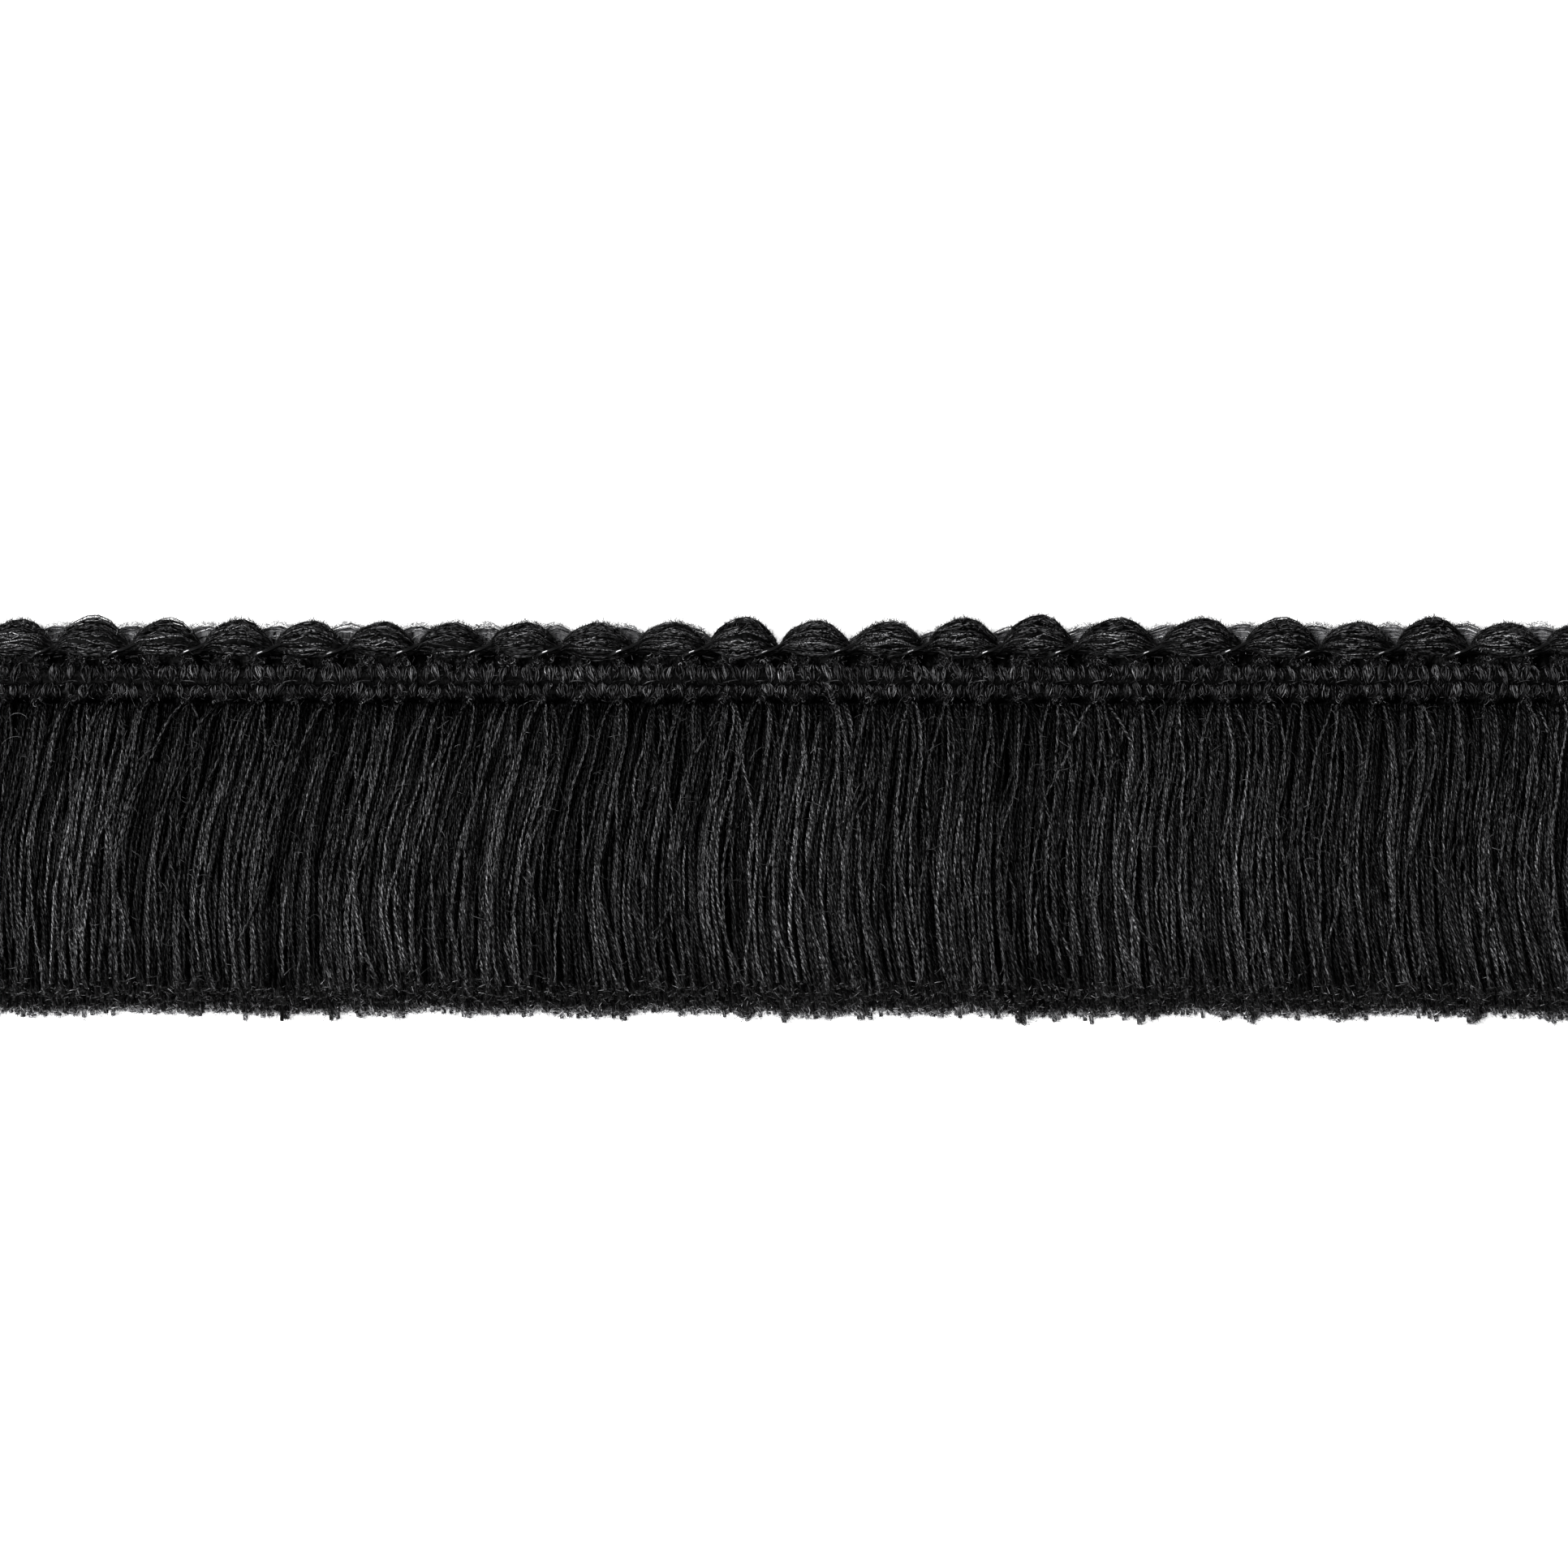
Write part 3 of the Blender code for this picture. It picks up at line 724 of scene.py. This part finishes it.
def band_core(chance):
    """The ground under the stitches: its section drawn along the trim, sunk at each open stitch by
    sink * openness, and painted near black there as painted shade in the hole. The upper holes are
    widest at the ties, the lower ones all alike."""
    section = columns(BAND_SECTION)
    places = np.linspace(-HALF_LENGTH, HALF_LENGTH, BAND_STEPS)
    at_ties = openness(places, front_ties, HOLE_AT_TIE)[:, None]
    between = openness(places, hole_places, HOLE_BETWEEN)[:, None] * (section["high_mm"] < 2.7)
    below = openness(places, hole_places, HOLE_BELOW)[:, None]
    open_here = np.where(section["high_mm"] < 0.0, below, np.maximum(at_ties, between))
    face_high = section["high_mm"] * MM
    face_deep = (section["deep_mm"] - section["sink_mm"] * open_here) * MM
    back_deep = BAND_BACK + (section["sink_mm"] * open_here)[:, ::-1] * 0.3 * MM
    ring_high = np.concatenate([face_high, face_high[::-1]])
    ring_deep = np.concatenate([face_deep, back_deep], axis=1)
    line = spots(places, 0.0, 0.0)[None]
    core = round_strands(line, 1.0, len(ring_high), 0.0, chance)
    core["points"] = spots(places[:, None], ring_high, ring_deep).reshape(-1, 3)
    # Painted shade: the sunk holes are painted near black
    tones = section["tone"] * (1.0 - 0.99 * open_here * (section["sink_mm"] > 0.5))
    core["tone"] = np.concatenate([tones, tones[:, ::-1]], axis=1).reshape(-1)
    return core


knit_finish = spun_finish("black_knit_yarn", light=0.155, streak=(1.5, 1.6), gap=0.38)
ground_finish = spun_finish("black_knit_ground", light=0.15, streak=(70.0, 4.5), gap=0.42)
band_chance = np.random.default_rng(14)
front_stitches = []
back_stitches = []
for top, foot, slant, tone in RIBS[1:]:
    rib = (top * MM, foot * MM, slant * MM, tone)
    front_stitches += upright_stitches(*rib, face=1.0, strands=8, thick=0.055 * MM, chance=band_chance)
    back_stitches += upright_stitches(*rib, face=-1.0, strands=3, thick=0.13 * MM, chance=band_chance)
for half_wide, foot, top, deep, count, tone in LOOPS[1:]:
    group = (half_wide * MM, foot * MM, top * MM, deep * MM, count, tone)
    front_stitches.append(small_loops(*group, band_chance))
front_stitches.append(groove_thread(band_chance))
front_stitches.append(band_hairs(count=2500, chance=band_chance))
front_stitches.append(tie_stitches(band_chance))
lay_piece("heading_ground", [band_core(band_chance)], ground_finish, "knit_yarn", "heading_band")
lay_piece("heading_stitches_front", front_stitches, knit_finish, "knit_yarn", "heading_band")
lay_piece("heading_stitches_back", back_stitches, knit_finish, "knit_yarn", "heading_band")


# Skirt
# Several thousand two-ply spun yarns, held under the heading, combed straight down and cut with
# shears. The front ones are cut a little shorter, so the cut face slants towards the front.
SKIRT_ROOT = -1.75 * MM
CUT_BACK = -33.75 * MM
CUT_SLANT = 1.2 * MM
CUT_UNEVEN = (0.23 * MM, 0.42 * MM)
FACE_YARNS = 1080
YARN_THICK = 0.17 * MM
LOWEST_YARN = 0.22 * MM
TWIST_MM = 1.9
# The tufts that the shears left longer
CUT_TUFTS = (
    ("place_mm", "half_wide_mm", "low_mm"),
    (-83.0, 0.5, 0.5),
    (-78.6, 0.6, 0.3),
    (-71.5, 0.4, 0.3),
    (-58.5, 0.7, 0.5),
    (-53.5, 0.3, 0.7),
    (-49.7, 0.3, 0.6),
    (-44.9, 0.7, 0.6),
    (-42.2, 0.4, 0.5),
    (-38.4, 0.5, 0.5),
    (-31.2, 0.5, 0.3),
    (-16.1, 0.5, 0.5),
    (-3.6, 0.9, 0.5),
    (0.1, 0.5, 0.6),
    (4.9, 0.8, 0.3),
    (7.8, 0.6, 0.4),
    (15.7, 0.4, 0.4),
    (21.0, 0.4, 0.7),
    (23.6, 0.5, 0.9),
    (30.8, 0.4, 0.4),
    (35.5, 0.4, 0.8),
    (36.8, 0.4, 0.6),
    (44.0, 0.4, 0.6),
    (46.5, 0.6, 0.7),
    (55.7, 0.3, 0.3),
    (64.9, 0.4, 0.3),
    (68.6, 0.6, 0.8),
    (75.9, 0.8, 0.3),
    (82.0, 0.5, 0.6),
)
# How far the combed yarns lean, in degrees and to the right on their way down, at four heights
SKIRT_LEAN = (
    ("place_mm", "root", "upper", "lower", "cut"),
    (-74.0, -5.0, -8.0, 1.0, 3.0),
    (-50.0, -8.0, -12.0, -4.0, 5.0),
    (-25.0, -8.0, -13.0, -3.0, 5.0),
    (0.0, -4.0, -9.0, 0.0, 10.0),
    (25.0, 0.0, -8.0, 0.0, 5.0),
    (50.0, -1.0, -8.0, 1.0, 4.0),
    (74.0, -3.0, -12.0, 0.0, 9.0),
)
LEAN_SHARES = (0.12, 0.37, 0.64, 0.87)
LEAN_STEPS = 24


def face_height(share):
    """Height of the skirt's face, which comes out from under the heading and thickens to the cut:
    2.2 + 1.6 (1 - exp(-share / 0.04)) + 3.8 share^0.85 mm."""
    return (2.2 + 1.6 * (1.0 - np.exp(-share / 0.04)) + 3.8 * share**0.85) * MM


def lean_of(places, share):
    """Sideways drift of the yarns: the running sum, from the root down, of the step down times
    the tangent of the lean, which is read from the table between its places and its heights."""
    lean = columns(SKIRT_LEAN)
    heights = ("root", "upper", "lower", "cut")
    tilts = np.stack([np.interp(places / MM, lean["place_mm"], lean[name]) for name in heights], axis=1)
    fine = np.linspace(0.0, 1.0, LEAN_STEPS + 1)
    weights = np.stack([np.interp(fine, LEAN_SHARES, one) for one in np.eye(4)], axis=1)
    slopes = np.tan(np.radians(tilts @ weights.T))
    steps = (slopes[:, 1:] + slopes[:, :-1]) / 2.0 * (SKIRT_ROOT - CUT_BACK) / LEAN_STEPS
    drift = np.concatenate([np.zeros((len(places), 1)), np.cumsum(steps, axis=1)], axis=1)
    at = np.clip(share, 0.0, 0.9999) * LEAN_STEPS
    before = at.astype(int)
    near = np.take_along_axis(drift, before, axis=1)
    far = np.take_along_axis(drift, before + 1, axis=1)
    return near + (far - near) * (at - before)


def cut_edge(across):
    """How low the shears went at places along the trim: a slight slope, two slow sine waves, and
    the tufts, each low * exp(-((place - across) / half wide)^2)."""
    tufts = columns(CUT_TUFTS)
    away = (across[:, None] / MM - tufts["place_mm"]) / tufts["half_wide_mm"]
    hang = (tufts["low_mm"] * np.exp(-(away**2))).max(axis=1) * MM
    waves = 0.12 * MM * (np.sin(across / (4.1 * MM) + 0.7) + np.sin(across / (1.7 * MM)))
    return 0.25 * MM * across / HALF_LENGTH + waves + 1.15 * hang


def nearest_of(middles, places):
    """The nearest of the sorted middles to each place."""
    after = np.clip(np.searchsorted(middles, places), 1, len(middles) - 1)
    left, right = middles[after - 1], middles[after]
    return np.where(places - left < right - places, left, right)


def skirt_paths(places, depth, ends, chance, steps=5, wander=0.0, clump=3.0 * MM, stray=0.0, pull=0.0):
    """Yarns' middle lines from root to cut, or to a share of that way where one ends early. A yarn
    lies at its depth share between face and back, leaves its post of the heading with some pull,
    drifts with the lean, is drawn towards its clump's middle, strays with its neighbours and
    wanders as three sine waves. No yarn goes out past the trim's two ends by more than 0.2 mm."""
    count = len(places)
    share = np.linspace(0.0, 1.0, steps)[None, :] * (np.ones(count) * ends)[:, None]
    clumps = np.sort(chance.uniform(-1.02, 1.02, int(2.0 * HALF_LENGTH / clump)) * HALF_LENGTH)
    middle = nearest_of(clumps, places)
    gather = (middle - places)[:, None] * 0.22 * np.sin(np.clip(share * 1.6, 0.0, 1.0) * np.pi / 2.0)
    gather *= chance.uniform(0.0, 1.3, (count, 1))
    gather += pull * (nearest_of(post_places, places) - places)[:, None] * np.exp(-((share / 0.09) ** 2))
    patch = ((places / HALF_LENGTH + 1.0) * 14.0).astype(int)
    gather += stray * chance.normal(0, 1, patch.max() + 1)[patch][:, None] * share**1.2
    swing = np.zeros((count, steps))
    for waves, size in ((0.5, 1.0), (1.3, 0.5), (3.3, 0.2)):
        phase = chance.uniform(0, 2.0 * np.pi, (count, 1))
        pace = waves * chance.uniform(0.7, 1.3, (count, 1))
        swing += size * (np.sin(2.0 * np.pi * pace * share + phase) - np.sin(phase))
    strays = 1.0 + 1.8 * (chance.random((count, 1)) > 0.85)
    high = LOWEST_YARN + (1.0 - depth[:, None]) * (face_height(share) - LOWEST_YARN)
    sway = chance.uniform(0, 2.0 * np.pi, (count, 1))
    pace = chance.uniform(0.6, 2.0, (count, 1))
    high = high + 0.25 * MM * np.sin(2.0 * np.pi * share * pace + sway) * share**0.5
    end_side = np.sign(places)[:, None]
    room = HALF_LENGTH + 0.2 * MM - np.abs(places)[:, None]
    aside = end_side * np.minimum(end_side * (gather + wander * strays * swing), room)
    across = places[:, None] + lean_of(places, share) + aside
    uneven = CUT_UNEVEN[1] + (CUT_UNEVEN[0] - CUT_UNEVEN[1]) * np.clip(depth[:, None], 0.0, 1.0)
    cut = CUT_BACK + CUT_SLANT * (1.0 - depth[:, None]) + uneven * chance.normal(0, 1, (count, 1))
    cut = cut - cut_edge(across[:, -1])[:, None]
    return spots(across, SKIRT_ROOT + (cut - SKIRT_ROOT) * share, np.maximum(high, LOWEST_YARN)), share


def plain_yarns(paths, share, thick, tone, chance, sides, painted_end_shading):
    """Yarns as single round strands, a little thinner under the heading."""
    thick = thick * chance.uniform(0.82, 1.15, (len(paths), 1)) * (0.85 + 0.2 * share)
    return round_strands(paths, thick, sides, tone * painted_skirt_shading(share, painted_end_shading), chance)


def painted_skirt_shading(share, painted_end_shading):
    """The yarns' tone is painted darker near the heading, as painted shade under it, 0.41 + 0.66 *
    (2 share) at most 1.07, but painted lighter at their open roots, + 0.3 exp(-(share / 0.06)^2),
    as painted light. In the last ninth it is painted darker by up to a share, as painted shade in
    the cut, and lighter where that share is negative, as painted light from the white table."""
    ends = 1.0 - painted_end_shading * np.clip(9.0 * share - 8.0, 0.0, 1.0)
    return (0.41 + 0.66 * np.clip(2.0 * share, 0.0, 1.0) + 0.3 * np.exp(-((share / 0.06) ** 2))) * ends


def yarn_tones(places, chance, bright_share=0.25, bright=0.75, dull=0.32):
    """One tone a yarn: a share of bright ones among dull ones, with slow waves along the trim."""
    count = (len(places), 1)
    picked = chance.random(count) < bright_share
    tone = np.where(picked, fibre_tone(chance, count, bright, 0.25), fibre_tone(chance, count, dull, 0.45))
    waves = 1.0 + 0.22 * np.sin(places / (2.3 * MM)) + 0.18 * np.sin(places / (6.1 * MM) + 1.0)
    return tone * waves[:, None]


def spread_places(count, chance, loose=1.0):
    """Places along the trim, evenly spaced and then jittered by up to half a step times loose."""
    jitter = 0.5 + loose * chance.uniform(-0.5, 0.5, count)
    return HALF_LENGTH * 0.995 * (2.0 * (np.arange(count) + jitter) / count - 1.0)


yarn_finish = spun_finish(
    "black_two_ply_yarn",
    light=0.33,
    streak=(7.0, 2.4),
    gap=0.455,
    relief=0.09 * MM,
    twist=TWIST_MM,
    gloss=0.05,
    dimmest=0.11,
)
skirt_chance = np.random.default_rng(21)
face_places = spread_places(FACE_YARNS, skirt_chance)
face_depth = skirt_chance.uniform(0.0, 1.0, FACE_YARNS) ** 1.2 * 0.40
face_ends = np.where(skirt_chance.random(FACE_YARNS) > 0.9, skirt_chance.uniform(0.90, 0.99, FACE_YARNS), 1.0)
face_way = {"steps": 13, "wander": 0.45 * MM, "clump": 1.9 * MM, "stray": 0.3 * MM, "pull": 0.35}
face_paths, face_share = skirt_paths(face_places, face_depth, face_ends, skirt_chance, **face_way)
face_tone = yarn_tones(face_places, skirt_chance, bright_share=0.3, bright=0.95, dull=0.28)
face_yarns = plain_yarns(face_paths, face_share, YARN_THICK, face_tone, skirt_chance, sides=4, painted_end_shading=0.6)
lay_piece("skirt_yarns_face", [face_yarns], yarn_finish, "skirt_yarn", "fringe_skirt")

# How deep each inner layer lies in the skirt, its yarns' number, thickness and looseness, and the
# share by which their ends are painted darker, as painted shade in the cut; a negative share paints
# them lighter, as painted light from the white table just below
INNER_LAYERS = (
    ("depth", "yarns", "thick_mm", "wander_mm", "clump_mm", "loose", "painted_end_shading"),
    (0.22, 320, 0.17, 0.30, 3.0, 1.0, 0.9),
    (0.30, 320, 0.18, 0.30, 3.0, 1.0, 0.9),
    (0.38, 320, 0.19, 0.20, 3.0, 1.0, 0.9),
    (0.47, 270, 0.20, 0.12, 3.0, 1.0, 0.9),
    (0.56, 270, 0.20, 0.12, 3.0, 1.0, 0.9),
    (0.65, 270, 0.20, 0.12, 3.0, 1.0, 0.9),
    (0.74, 270, 0.20, 0.12, 3.0, 1.0, 0.9),
    (0.82, 300, 0.20, 0.06, 2.0, 1.0, 0.2),
    (0.88, 400, 0.22, 0.0, 0.6, 0.3, -1.0),
    (0.94, 460, 0.21, 0.0, 0.5, 0.3, -1.8),
    (0.99, 480, 0.21, 0.0, 0.5, 0.3, -2.2),
)
# Yarns at every depth that close the trim's two cut ends
EDGE_YARNS = 44
EDGE_THICK = 0.22 * MM
edge_places = np.repeat([-0.991, 0.991], EDGE_YARNS) * HALF_LENGTH
edge_places = edge_places + skirt_chance.normal(0, 0.2 * MM, 2 * EDGE_YARNS)
edge_depth = skirt_chance.uniform(0.05, 0.97, 2 * EDGE_YARNS)
edge_paths, edge_share = skirt_paths(edge_places, edge_depth, 1.0, skirt_chance)
edge_tone = yarn_tones(edge_places, skirt_chance)
edge_yarns = plain_yarns(edge_paths, edge_share, EDGE_THICK, edge_tone, skirt_chance, sides=4, painted_end_shading=0.9)
inner_yarns = [edge_yarns]
inner_ends = [edge_paths]
for depth, yarns, thick, wander, clump, loose, painted_end_shading in INNER_LAYERS[1:]:
    layer_places = spread_places(yarns, skirt_chance, loose)
    layer_depth = depth + skirt_chance.uniform(-0.02, 0.02, yarns)
    layer_paths, layer_share = skirt_paths(
        layer_places, layer_depth, 1.0, skirt_chance, wander=wander * MM, clump=clump * MM
    )
    layer_tone = yarn_tones(layer_places, skirt_chance)
    sides = 4 if depth < 0.4 or depth > 0.85 else 3
    inner_yarns.append(
        plain_yarns(layer_paths, layer_share, thick * MM, layer_tone, skirt_chance, sides, painted_end_shading)
    )
    inner_ends.append(layer_paths)
lay_piece("skirt_yarns_inside", inner_yarns, yarn_finish, "skirt_yarn", "fringe_skirt")


# Top yarns of the skirt
# The yarns that lie loose on top of the face. Each is two plies of spun black fibre, held under
# the heading like the rest, and both plies show as they wind round each other.
TOP_YARNS = 100
PLY_THICK = 0.105 * MM
PLY_OUT = 0.085 * MM
TWIST_STEPS = 5


def two_plies(paths, tone, chance):
    """Both plies of each yarn. A ply circles the yarn's middle line once each twist, at
    across * cos(turn) + upward * sin(turn), and the second ply is half a turn on."""
    count, coarse = paths.shape[:2]
    span = np.linalg.norm(np.diff(paths, axis=1), axis=2).sum(axis=1).max()
    steps = int(span / (TWIST_MM * MM) * TWIST_STEPS)
    at = np.linspace(0, coarse - 1.0001, steps)
    whole = at.astype(int)
    part = (at - whole)[None, :, None]
    smooth = part * part * (3.0 - 2.0 * part)
    slope = np.gradient(paths, axis=1)
    line = (
        paths[:, whole] * (1.0 - smooth)
        + paths[:, whole + 1] * smooth
        + slope[:, whole] * part * (1.0 - part) ** 2
        - slope[:, whole + 1] * part**2 * (1.0 - part)
    )
    turn = -2.0 * np.pi * np.arange(steps) / TWIST_STEPS * chance.uniform(0.85, 1.1, (count, 1))
    turn = turn + chance.uniform(0, 2.0 * np.pi, (count, 1))
    bundles = []
    for half in (0.0, np.pi):
        ply = line + PLY_OUT * spots(np.cos(turn + half), 0.0, np.sin(turn + half))
        thick = PLY_THICK * chance.uniform(0.9, 1.1, (count, 1))
        bundles.append(round_strands(ply, thick, 3, tone, chance))
    return bundles


ply_finish = spun_finish("black_yarn_ply", light=0.26, streak=(3.0, 1.8), gap=0.43, gloss=0.05)
top_chance = np.random.default_rng(23)
top_places = spread_places(TOP_YARNS, top_chance)
top_depth = top_chance.uniform(-0.03, 0.05, TOP_YARNS)
top_ends = np.where(top_chance.random(TOP_YARNS) > 0.8, top_chance.uniform(0.82, 0.98, TOP_YARNS), 1.0)
top_way = {"steps": 14, "wander": 0.6 * MM, "clump": 4.5 * MM, "stray": 0.7 * MM, "pull": 0.5}
top_paths, _ = skirt_paths(top_places, top_depth, top_ends, top_chance, **top_way)
top_tone = fibre_tone(top_chance, (TOP_YARNS, 1), middle=0.62, spread=0.35)
top_yarns = two_plies(top_paths, top_tone, top_chance)
lay_piece("skirt_yarns_top", top_yarns, ply_finish, "skirt_yarn", "fringe_skirt")


# Cut ends
# The skirt's lower edge, as the shears left it. Each yarn opens there into its single black
# fibres, which stand out of the cut face and are held by the yarn's own twist, and short loose
# ones lie along the cut.
# The tone column is painted: 4.5 on the lowest layers' fibres is painted light from the white table below,
# and the lower tones of the others are painted shade in the cut face
END_FIBRES = (
    ("per_yarn", "spread", "reach_mm", "thick_mm", "tone"),
    (3, 0.55, 0.7, 0.03, 0.10),
    (8, 0.35, 0.9, 0.03, 0.25),
    (2, 0.6, 0.6, 0.03, 0.08),
    (7, 0.9, 1.3, 0.021, 4.5),
)
# The fluff's tones are painted light, from the white table below
CUT_FLUFF = (
    ("per_yarn", "tone"),
    (1, 1.6),
    (4, 6.0),
    (1, 1.8),
)
FLUFF_THICK = 0.032 * MM


def end_fibres(paths, per_yarn, spread, reach, thick, tone, chance):
    """Straight fibres out of the yarns' ends, each the yarn's own direction plus a random one."""
    tips = np.repeat(paths[:, -1], per_yarn, axis=0)
    ways = np.repeat(unit(paths[:, -1] - paths[:, -2]), per_yarn, axis=0)
    count = len(tips)
    ways = unit(ways + spread * chance.normal(0, 1, (count, 3)))
    roots = tips + chance.normal(0, 0.12 * MM, (count, 3)) * np.array([1.0, 0.3, 1.0])
    lengths = reach * (0.15 + 0.85 * chance.random(count) ** 1.6)
    return spikes(roots, ways, lengths, thick, tone * fibre_tone(chance, count, 1.0, 0.9), chance)


def cut_fluff(paths, per_yarn, tone, chance):
    """Loose fibres that lie along the cut, level and in all directions, round the yarns' ends."""
    tips = np.repeat(paths[:, -1], per_yarn, axis=0)
    count = len(tips)
    roots = tips + chance.normal(0, 1, (count, 3)) * np.array([0.5, 0.14, 0.25]) * MM
    roots[:, 2] = np.maximum(roots[:, 2], 0.1 * MM)
    ways = unit(chance.normal(0, 1, (count, 3)) * np.array([1.0, 0.5, 0.5]))
    lengths = chance.uniform(0.3, 1.1, count) * MM
    return spikes(roots, ways, lengths, FLUFF_THICK, tone * fibre_tone(chance, count, 1.0, 0.8), chance)


fibre_finish = spun_finish(
    "single_fibres", light=0.09, streak=(1.0, 2.0), gap=0.3, relief=0.01 * MM, gloss=0.04
)
cut_chance = np.random.default_rng(22)
inner_paths = np.concatenate(inner_ends[:-3])
lowest_paths = np.concatenate(inner_ends[-3:])
cut_fibres = []
frayed = (face_paths, top_paths, inner_paths, lowest_paths)
for paths, (per_yarn, spread, reach, thick, tone) in zip(frayed, END_FIBRES[1:]):
    cut_fibres.append(end_fibres(paths, per_yarn, spread, reach * MM, thick * MM, tone, cut_chance))
for paths, (per_yarn, tone) in zip((inner_paths, lowest_paths, face_paths), CUT_FLUFF[1:]):
    cut_fibres.append(cut_fluff(paths, per_yarn, tone, cut_chance))
lay_piece("cut_end_fibres", cut_fibres, fibre_finish, "skirt_yarn")


# Loose fibres
# Fine hairs that have worked out of the spun yarns all over the skirt's face. Most stand off it
# and are still held in their yarn, and a few longer ones lie curled on it.
def face_hairs(paths, per_yarn, chance):
    """Straight hairs from random places on the yarns, slanting off along them."""
    count = len(paths) * per_yarn
    yarn = np.repeat(np.arange(len(paths)), per_yarn)
    at = chance.uniform(0.3, paths.shape[1] - 1.01, count)
    whole = at.astype(int)
    part = (at - whole)[:, None]
    roots = paths[yarn, whole] * (1.0 - part) + paths[yarn, whole + 1] * part
    sideways = chance.normal(0, 0.14 * MM, count)
    roots = roots + spots(sideways, 0.0, 0.15 * MM)
    aside = chance.normal(0, 0.55, count)
    down = -chance.uniform(-0.6, 1.0, count)
    ways = unit(spots(aside, down, chance.uniform(0.0, 0.5, count)))
    lengths = chance.uniform(0.3, 1.3, count) * MM
    return spikes(roots, ways, lengths, HAIR_THICK, fibre_tone(chance, count, 0.55, 0.6), chance)


def curled_fibres(count, chance):
    """A few long fibres that have worked loose and curl on the face. Each turns steadily as it
    goes, by a random bend, in the plane of the face."""
    share = np.linspace(0.0, 1.0, 6)
    roots = chance.uniform(-0.98, 0.98, (count, 1)) * HALF_LENGTH
    down = chance.uniform(0.02, 0.98, (count, 1)) ** 1.3
    way = chance.uniform(0.0, 2.0 * np.pi, (count, 1)) + chance.normal(0, 1.2, (count, 1)) * share
    stride = chance.uniform(0.6, 2.2, (count, 1)) * MM / (len(share) - 1)
    high = SKIRT_ROOT + (CUT_BACK - SKIRT_ROOT) * down + stride * np.cumsum(np.sin(way), axis=1)
    deep = face_height(down) + YARN_THICK + 0.25 * MM * np.sin(np.pi * share)
    paths = spots(roots + stride * np.cumsum(np.cos(way), axis=1), high, deep)
    return round_strands(paths, HAIR_THICK, 3, fibre_tone(chance, (count, 1), 0.9, 0.5), chance)


hair_chance = np.random.default_rng(24)
lay_piece(
    "skirt_hairs",
    [
        face_hairs(face_paths, per_yarn=9, chance=hair_chance),
        face_hairs(top_paths, per_yarn=18, chance=hair_chance),
        curled_fibres(count=500, chance=hair_chance),
    ],
    fibre_finish,
    "skirt_yarn",
)
